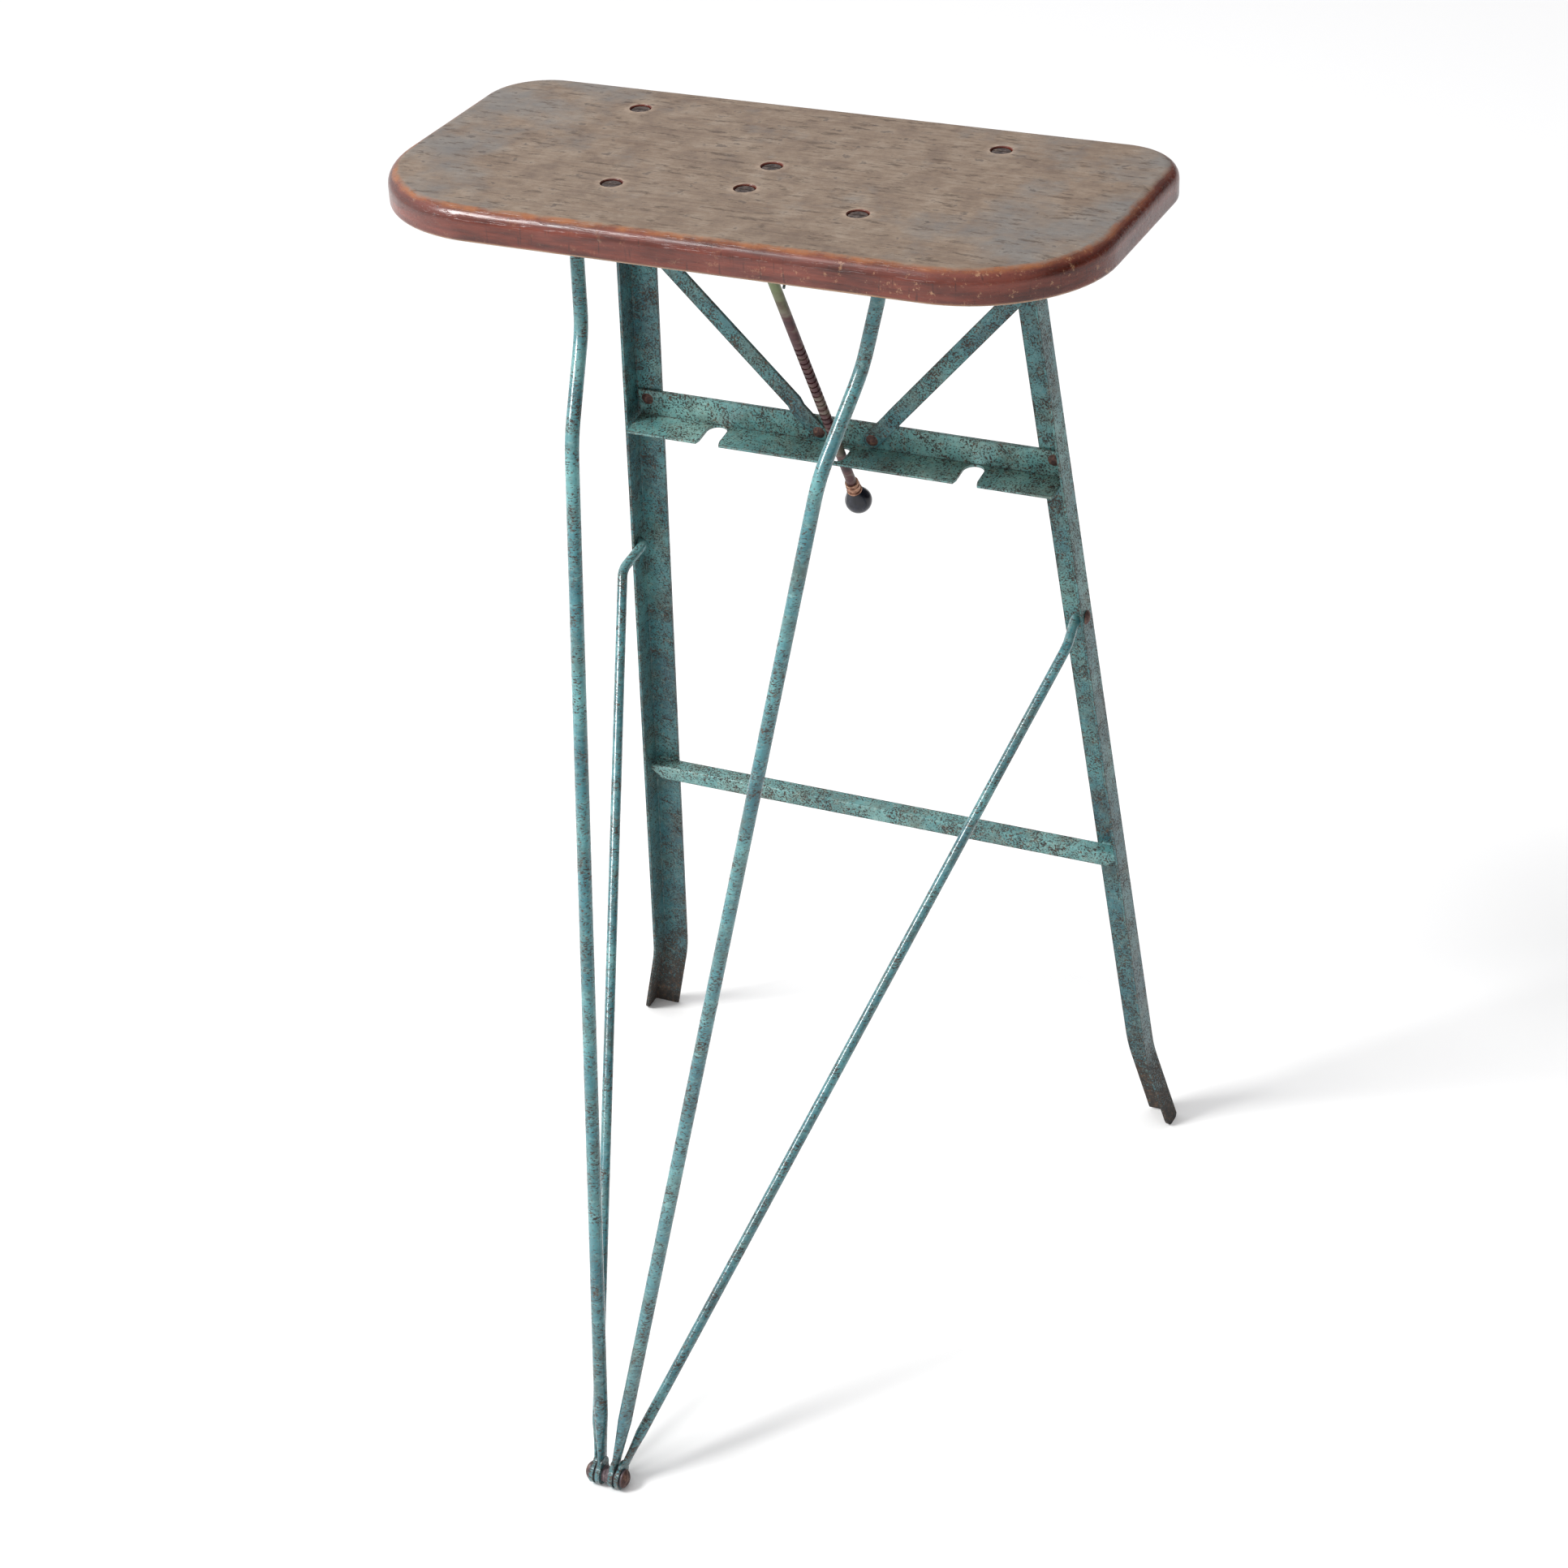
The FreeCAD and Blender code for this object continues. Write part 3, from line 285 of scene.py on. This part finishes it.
def makeVarnishedWood():
    # edge-glued hardwood board: shellac left red and glossy on the edge, worn through on the arris and top
    material, tree, shader = newMaterial("wornShellacHardwood")
    coordinates = addNode(tree, "TexCoord")
    place = coordinates.outputs["Object"]
    facing = addNode(tree, "SeparateXYZ", {0: coordinates.outputs["Normal"]}).outputs[2]
    split = addNode(tree, "SeparateXYZ", {0: place})
    top, figure, pores = makeBoardTopColour(tree, place, split)
    side = makeBoardSideColour(tree, place)
    wobble = calc(tree, "SUBTRACT", noise(tree, place, woodPatterns["wobble"], 5.0, 0.65), 0.5)
    wobbled = calc(tree, "MULTIPLY_ADD", wobble, 0.3, facing)
    flatTop = remap(tree, facing, 0.975, 0.998)  # the wear stays on the rounded rim
    topShare = calc(tree, "MAXIMUM", remap(tree, wobbled, 0.86, 0.96), flatTop)
    arris = ramp(tree, wobbled, [(0.68, 0.0), (0.84, 0.9), (0.94, 0.9), (1.0, 0.3)])
    nearness = remap(tree, split.outputs[1], boardHigh[1], boardLow[1] + 20 * mm, 0.2, 0.95)
    patchyRim = remap(tree, noise(tree, place, woodPatterns["rim"], 4.0, 0.7), 0.4, 0.6, 0.25, 1.0)
    rimOnly = calc(tree, "SUBTRACT", 1.0, flatTop)
    arrisShare = calc(tree, "MULTIPLY", calc(tree, "MULTIPLY", arris, nearness),
                      calc(tree, "MULTIPLY", patchyRim, rimOnly))
    lowShare = remap(tree, wobbled, -0.25, -0.55)
    stops = [(0.3, rawColours["dark"]), (0.5, rawColours["middle"]), (0.7, rawColours["light"])]
    rawWood = ramp(tree, figure, stops)
    raw = blendColours(tree, calc(tree, "MULTIPLY", pores, 0.6), rawWood, linear(rawColours["pores"]))
    lowWorn = blendColours(tree, lowShare, side, raw)
    body = blendColours(tree, topShare, lowWorn, top)
    colour = blendColours(tree, arrisShare, body, linear(sideColours["arris"]))
    tree.links.new(colour, shader.inputs["Base Color"])
    tree.links.new(remap(tree, topShare, 0.0, 1.0, 0.24, 0.6), shader.inputs["Roughness"])
    relief = calc(tree, "MULTIPLY_ADD", pores, -0.6, figure)
    bump = addNode(tree, "Bump", {"Height": relief, "Strength": 0.4, "Distance": 0.0006}).outputs[0]
    tree.links.new(bump, shader.inputs["Normal"])
    return material


def makeBlackResin():
    # moulded phenolic knob: deep navy-black with a worn gloss
    material, tree, shader = newMaterial("mouldedBlackResin")
    place = addNode(tree, "TexCoord").outputs["Object"]
    scuffs = noise(tree, place, fittingPatterns["scuffs"], 4.0)
    tree.links.new(ramp(tree, scuffs, [(0.35, "#0a0b13"), (0.7, "#1b1f2e")]), shader.inputs["Base Color"])
    tree.links.new(remap(tree, scuffs, 0.3, 0.7, 0.12, 0.3), shader.inputs["Roughness"])
    return material


def makeBrass():
    # turned brass gone dull: pinkish tan with brown film in the grooves
    material, tree, shader = newMaterial("tarnishedTurnedBrass")
    place = addNode(tree, "TexCoord").outputs["Object"]
    film = noise(tree, place, fittingPatterns["film"], 4.0)
    tree.links.new(ramp(tree, film, [(0.35, "#6b4a3c"), (0.6, "#b58a72")]), shader.inputs["Base Color"])
    shader.inputs["Metallic"].default_value = 0.8
    shader.inputs["Roughness"].default_value = 0.42
    return material


def makeRustedRod():
    # drawn latch rod: olive paint left near the top, maroon rust below, grey where the slot rubs
    material, tree, shader = newMaterial("rustBandedDrawnSteel")
    place = addNode(tree, "TexCoord").outputs["Object"]
    height = addNode(tree, "SeparateXYZ", {0: place}).outputs[2]
    mottled = noise(tree, place, fittingPatterns["mottle"], 4.0, 0.65)
    shifted = calc(tree, "MULTIPLY_ADD", mottled, 0.03, height)
    paintShare = remap(tree, shifted, 695 * mm, 715 * mm)
    squashed = addNode(tree, "Mapping", {"Vector": place, "Scale": (0.3, 0.3, 1.0)}).outputs[0]
    bands = noise(tree, squashed, fittingPatterns["bands"], 3.0, 0.6)
    rust = ramp(tree, bands, [(0.34, "#2e151a"), (0.52, "#4c2628"), (0.64, "#6c6256")])
    tree.links.new(blendColours(tree, paintShare, rust, linear("#69734f")), shader.inputs["Base Color"])
    shader.inputs["Metallic"].default_value = 0.2
    shader.inputs["Roughness"].default_value = 0.46
    bump = addNode(tree, "Bump", {"Height": mottled, "Strength": 0.4, "Distance": 0.0003}).outputs[0]
    tree.links.new(bump, shader.inputs["Normal"])
    return material


def makeFloorPaper():
    # plain matt backdrop paper
    material, tree, shader = newMaterial("paleBackdropPaper")
    shader.inputs["Base Color"].default_value = linear("#fbfbfa")
    shader.inputs["Roughness"].default_value = 0.95
    shader.inputs["Specular IOR Level"].default_value = 0.1
    return material


sheetWear = {"speck": 1.2, "stretch": (1.0, 1.0, 1.0), "from": 0.5, "to": 0.6, "lowDark": 0.7,
             "foot": 0.22, "gloss": 0.36, "coat": 0.1, "dark": "#23535d", "middle": "#3d787c",
             "light": "#5f9592", "chalk": "#84a49c", "grime": "#4a4a3c"}
barWear = {"speck": 1.0, "stretch": (0.45, 0.45, 1.3), "from": 0.53, "to": 0.63, "lowDark": 0.35,
           "foot": 0.06, "gloss": 0.24, "coat": 0.6, "dark": "#2a5f69", "middle": "#447f86",
           "light": "#66a0a1", "chalk": "#93b9b4", "grime": "#4c5548"}
crossbarWear = {"speck": 1.3, "stretch": (1.0, 1.0, 1.0), "from": 0.5, "to": 0.6, "lowDark": 0.6,
                "foot": 0.0, "gloss": 0.34, "coat": 0.15, "dark": "#427476", "middle": "#609694",
                "light": "#80ada7", "chalk": "#a3b8ad", "grime": "#5c5440"}
materials = {
    "sheetEnamel": makeGreenEnamel("oilEnamelOnAngleSteel", sheetWear),
    "crossbarEnamel": makeGreenEnamel("rubbedOilEnamelOnAngleSteel", crossbarWear),
    "barEnamel": makeGreenEnamel("oilEnamelOnRoundBar", barWear),
    "rust": makeRustedSteel("rustedRivetSteel", "#2b1c1c", "#4e3530", "#80604f"),  # peened heads, red-brown
    "washer": makeRustedSteel("greyedRustedSteel", "#332a2e", "#5c4e52", "#8b7b7a"),  # punched, rubbed grey
    "screw": makeRustedSteel("darkenedScrewSteel", "#221c1c", "#443834", "#76675e"),  # oil-blackened
    "wood": makeVarnishedWood(),
    "resin": makeBlackResin(),
    "brass": makeBrass(),
    "rod": makeRustedRod(),
    "wire": makeRustedSteel("dullDrawnWire", "#2c3638", "#4a5a5c", "#7b8a8a"),  # cold drawn, dull blue-grey
    "floor": makeFloorPaper(),
}
nodeMaterials = {
    "sheetEnamel": ("left_leg", "right_leg", "left_brace", "right_brace", "left_hinge_bracket",
                    "right_hinge_bracket", "left_rod_clip", "right_rod_clip", "latch_bracket"),
    "crossbarEnamel": ("upper_crossbar", "lower_crossbar", "lower_bar_welds"),
    "barEnamel": ("left_front_rod", "right_front_rod", "left_strut", "right_strut"),
    "rust": ("crossbar_rivets", "brace_rivets", "strut_rivets", "hinge_pins", "latch_pivot_heads",
             "latch_pin", "foot_axle"),
    "washer": ("foot_washers", "foot_spacers"),
    "screw": ("board_screws", "board_nuts"),
    "wood": ("board_top",),
    "wire": ("latch_spring",),
    "rod": ("latch_rod",),
    "brass": ("latch_ferrule",),
    "resin": ("ball_knob",),
}
for materialName, names in nodeMaterials.items():
    for name in names:
        nodes[name].data.materials.clear()
        nodes[name].data.materials.append(materials[materialName])
print("materials assigned")


def finishMesh(shape, name, materialName, sharpAngle=35):
    bmesh.ops.recalc_face_normals(shape, faces=shape.faces)
    for face in shape.faces:
        face.smooth = True
    for edge in shape.edges:
        edge.smooth = len(edge.link_faces) == 2 and edge.calc_face_angle() < math.radians(sharpAngle)
    mesh = bpy.data.meshes.new(name)
    shape.to_mesh(mesh)
    shape.free()
    piece = bpy.data.objects.new(name, mesh)
    bpy.context.scene.collection.objects.link(piece)
    mesh.materials.append(materials[materialName])
    return piece


boardSettings = {"nearRadius": 88 * mm, "farRadius": 42 * mm, "upperRim": 9 * mm, "lowerRim": 3 * mm,
                 "cornerSteps": 20, "rimSteps": 8, "holeSteps": 40}


def addRing(shape, x, y, z, radius):
    steps = boardSettings["holeSteps"]
    turns = [2 * math.pi * step / steps for step in range(steps)]
    return [shape.verts.new((x + radius * math.cos(a), y + radius * math.sin(a), z)) for a in turns]


def joinRings(shape, first, second):
    for index in range(len(first)):
        after = (index + 1) % len(first)
        shape.faces.new((first[index], first[after], second[after], second[index]))


def ringEdges(shape, ring):
    return [shape.edges.get((ring[i - 1], ring[i])) for i in range(len(ring))]


def makeBoardBlank(shape):
    # four corners, rounded in plan, raised to the board's thickness, then both rims rounded
    corners = [(boardLow[0], boardLow[1]), (boardHigh[0], boardLow[1]),
               (boardHigh[0], boardHigh[1]), (boardLow[0], boardHigh[1])]
    points = [shape.verts.new((x, y, boardLow[2])) for x, y in corners]
    shape.faces.new(points)
    for pair, radius in ((points[:2], "nearRadius"), (points[2:], "farRadius")):
        bmesh.ops.bevel(shape, geom=pair, offset=boardSettings[radius], affect="VERTICES", profile=0.5,
                        segments=boardSettings["cornerSteps"], material=-1)
    raised = bmesh.ops.extrude_face_region(shape, geom=shape.faces[:])["geom"]
    lifted = [item for item in raised if isinstance(item, bmesh.types.BMVert)]
    bmesh.ops.translate(shape, verts=lifted, vec=(0, 0, boardHigh[2] - boardLow[2]))
    for height, rim in ((boardHigh[2], "upperRim"), (boardLow[2], "lowerRim")):
        edges = [e for e in shape.edges if all(abs(v.co.z - height) < closeEnough for v in e.verts)]
        bmesh.ops.bevel(shape, geom=edges, offset=boardSettings[rim], affect="EDGES", profile=0.5,
                        segments=boardSettings["rimSteps"], material=-1)


def makeBoard():
    shape = bmesh.new()
    makeBoardBlank(shape)
    top, bottom = boardHigh[2], boardLow[2]
    seat = top - screwSettings["depth"]
    radius, rim, hole = screwSettings["recess"], screwSettings["rim"], screwSettings["hole"]
    profile = ((top, radius + rim), (top - rim, radius), (seat, radius), (seat, hole), (bottom, hole))
    mouths = {top: [], bottom: []}
    for x, y in screwPlaces():
        rings = [addRing(shape, x, y, z, ringRadius) for z, ringRadius in profile]
        for first, second in zip(rings, rings[1:]):
            joinRings(shape, first, second)
        mouths[top] += ringEdges(shape, rings[0])
        mouths[bottom] += ringEdges(shape, rings[-1])
    for height, edges in mouths.items():
        flat = max((f for f in shape.faces if all(abs(v.co.z - height) < closeEnough for v in f.verts)),
                   key=lambda face: face.calc_area())
        outline = list(flat.edges)
        bmesh.ops.delete(shape, geom=[flat], context="FACES_ONLY")
        bmesh.ops.triangle_fill(shape, edges=outline + edges, use_beauty=True)
    board = finishMesh(shape, "woodenBoard", "wood")
    weighted = board.modifiers.new("evenNormals", "WEIGHTED_NORMAL")
    weighted.keep_sharp = True
    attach(board, "board")
    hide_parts("board_top")


knobSettings = {"radius": 9.3 * mm, "neckRadius": 5.2 * mm, "neckFace": 11.4 * mm, "neckRim": 0.4 * mm,
                "socket": 3.52 * mm, "socketDepth": 4.5 * mm, "steps": 64, "arcSteps": 24}
latchLine = {"pivot": (0, 60.1 * mm, 735 * mm), "knob": (0, 197.8 * mm, 501.2 * mm)}


def makeKnob():
    # turned profile in (distance from the axis, distance along it), spun round the latch rod's line
    pivot, centre = Vector(latchLine["pivot"]), Vector(latchLine["knob"])
    direction = (centre - pivot).normalized()
    ballRadius, neckRadius = knobSettings["radius"], knobSettings["neckRadius"]
    neckFace, neckRim, socket = knobSettings["neckFace"], knobSettings["neckRim"], knobSettings["socket"]
    floorAlong = knobSettings["socketDepth"] - neckFace
    tangent = math.atan2(neckRadius, neckFace) + math.acos(ballRadius / math.hypot(neckFace, neckRadius))
    arcSteps = knobSettings["arcSteps"]
    angles = [tangent + (math.pi - tangent) * step / arcSteps for step in range(arcSteps + 1)]
    profile = [(0, floorAlong), (socket, floorAlong), (socket, -neckFace),
               (neckRadius - neckRim, -neckFace), (neckRadius, neckRim - neckFace)]
    profile += [(ballRadius * math.sin(angle), -ballRadius * math.cos(angle)) for angle in angles]
    shape = bmesh.new()
    line = [shape.verts.new((radius, 0, along)) for radius, along in profile]
    edges = [shape.edges.new(pair) for pair in zip(line, line[1:])]
    bmesh.ops.spin(shape, geom=line + edges, cent=(0, 0, 0), axis=(0, 0, 1), angle=2 * math.pi,
                   steps=knobSettings["steps"], use_merge=True)
    bmesh.ops.remove_doubles(shape, verts=shape.verts, dist=closeEnough)
    turned = direction.to_track_quat("Z", "Y").to_matrix().to_4x4()
    bmesh.ops.transform(shape, matrix=Matrix.Translation(centre) @ turned, verts=shape.verts)
    knob = finishMesh(shape, "turnedKnob", "resin")
    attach(knob, "latch")
    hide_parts("ball_knob")


makeBoard()
makeKnob()
print("board and knob made")

stageSettings = {"floorSide": 300.0, "skyColour": "#fdfdff", "skyFrom": (-0.66, -0.3, 0.69),
                 "skySpan": (-0.4, 0.8), "skyStrength": (0.06, 1.15)}
lightSettings = {
    "keyLight": {"power": 175.0, "size": 1.3, "place": (-2.6, -2.2, 3.6)},
    "fillLight": {"power": 4.0, "size": 3.0, "place": (2.8, -2.0, 2.2)},
}
cameraSettings = {"azimuth": 25.39, "elevation": 30.78, "roll": -2.59, "lens": 76.78, "sensor": 36.0,
                  "clipEnd": 400.0, "place": (0.82406, -1.6766, 1.49877)}


def makeFloor():
    shape = bmesh.new()
    bmesh.ops.create_grid(shape, x_segments=1, y_segments=1, size=stageSettings["floorSide"] / 2)
    mesh = bpy.data.meshes.new("floor")
    shape.to_mesh(mesh)
    shape.free()
    floor = bpy.data.objects.new("floor", mesh)
    bpy.context.scene.collection.objects.link(floor)
    mesh.materials.append(materials["floor"])


def makeAreaLight(name, settings, target):
    light = bpy.data.lights.new(name, "AREA")
    light.size = settings["size"]
    light.energy = settings["power"]
    lamp = bpy.data.objects.new(name, light)
    bpy.context.scene.collection.objects.link(lamp)
    lamp.location = settings["place"]
    lamp.rotation_euler = (target - Vector(settings["place"])).to_track_quat("-Z", "Y").to_euler()


def makeSky():
    world = bpy.data.worlds.new("studioSky")
    world.use_nodes = True
    background = world.node_tree.nodes["Background"]
    background.inputs["Color"].default_value = linear(stageSettings["skyColour"])
    tree = world.node_tree
    towards = addNode(tree, "TexCoord").outputs["Generated"]
    side = addNode(tree, "VectorMath", {0: towards, 1: stageSettings["skyFrom"]}, operation="DOT_PRODUCT")
    strength = remap(tree, side.outputs["Value"], *stageSettings["skySpan"], *stageSettings["skyStrength"])
    tree.links.new(strength, background.inputs["Strength"])
    bpy.context.scene.world = world


def makeCamera():
    azimuth = math.radians(cameraSettings["azimuth"])
    elevation = math.radians(cameraSettings["elevation"])
    roll = math.radians(cameraSettings["roll"])
    back = Vector((math.sin(azimuth) * math.cos(elevation), -math.cos(azimuth) * math.cos(elevation),
                   math.sin(elevation)))
    level = Vector((math.cos(azimuth), math.sin(azimuth), 0))
    above = back.cross(level)
    right = level * math.cos(roll) + above * math.sin(roll)
    up = above * math.cos(roll) - level * math.sin(roll)
    data = bpy.data.cameras.new("camera")
    data.lens = cameraSettings["lens"]
    data.sensor_width = cameraSettings["sensor"]
    data.clip_end = cameraSettings["clipEnd"]
    camera = bpy.data.objects.new("camera", data)
    bpy.context.scene.collection.objects.link(camera)
    turned = Matrix((right, up, back)).transposed().to_4x4()
    camera.matrix_world = Matrix.Translation(cameraSettings["place"]) @ turned
    bpy.context.scene.camera = camera


makeFloor()
middle = Vector((cadBox[0] + cadBox[1]) / 2)
for lightName, settings in lightSettings.items():
    makeAreaLight(lightName, settings, middle)
makeSky()
makeCamera()
bpy.context.scene.view_settings.view_transform = "Standard"
print("stage ready")
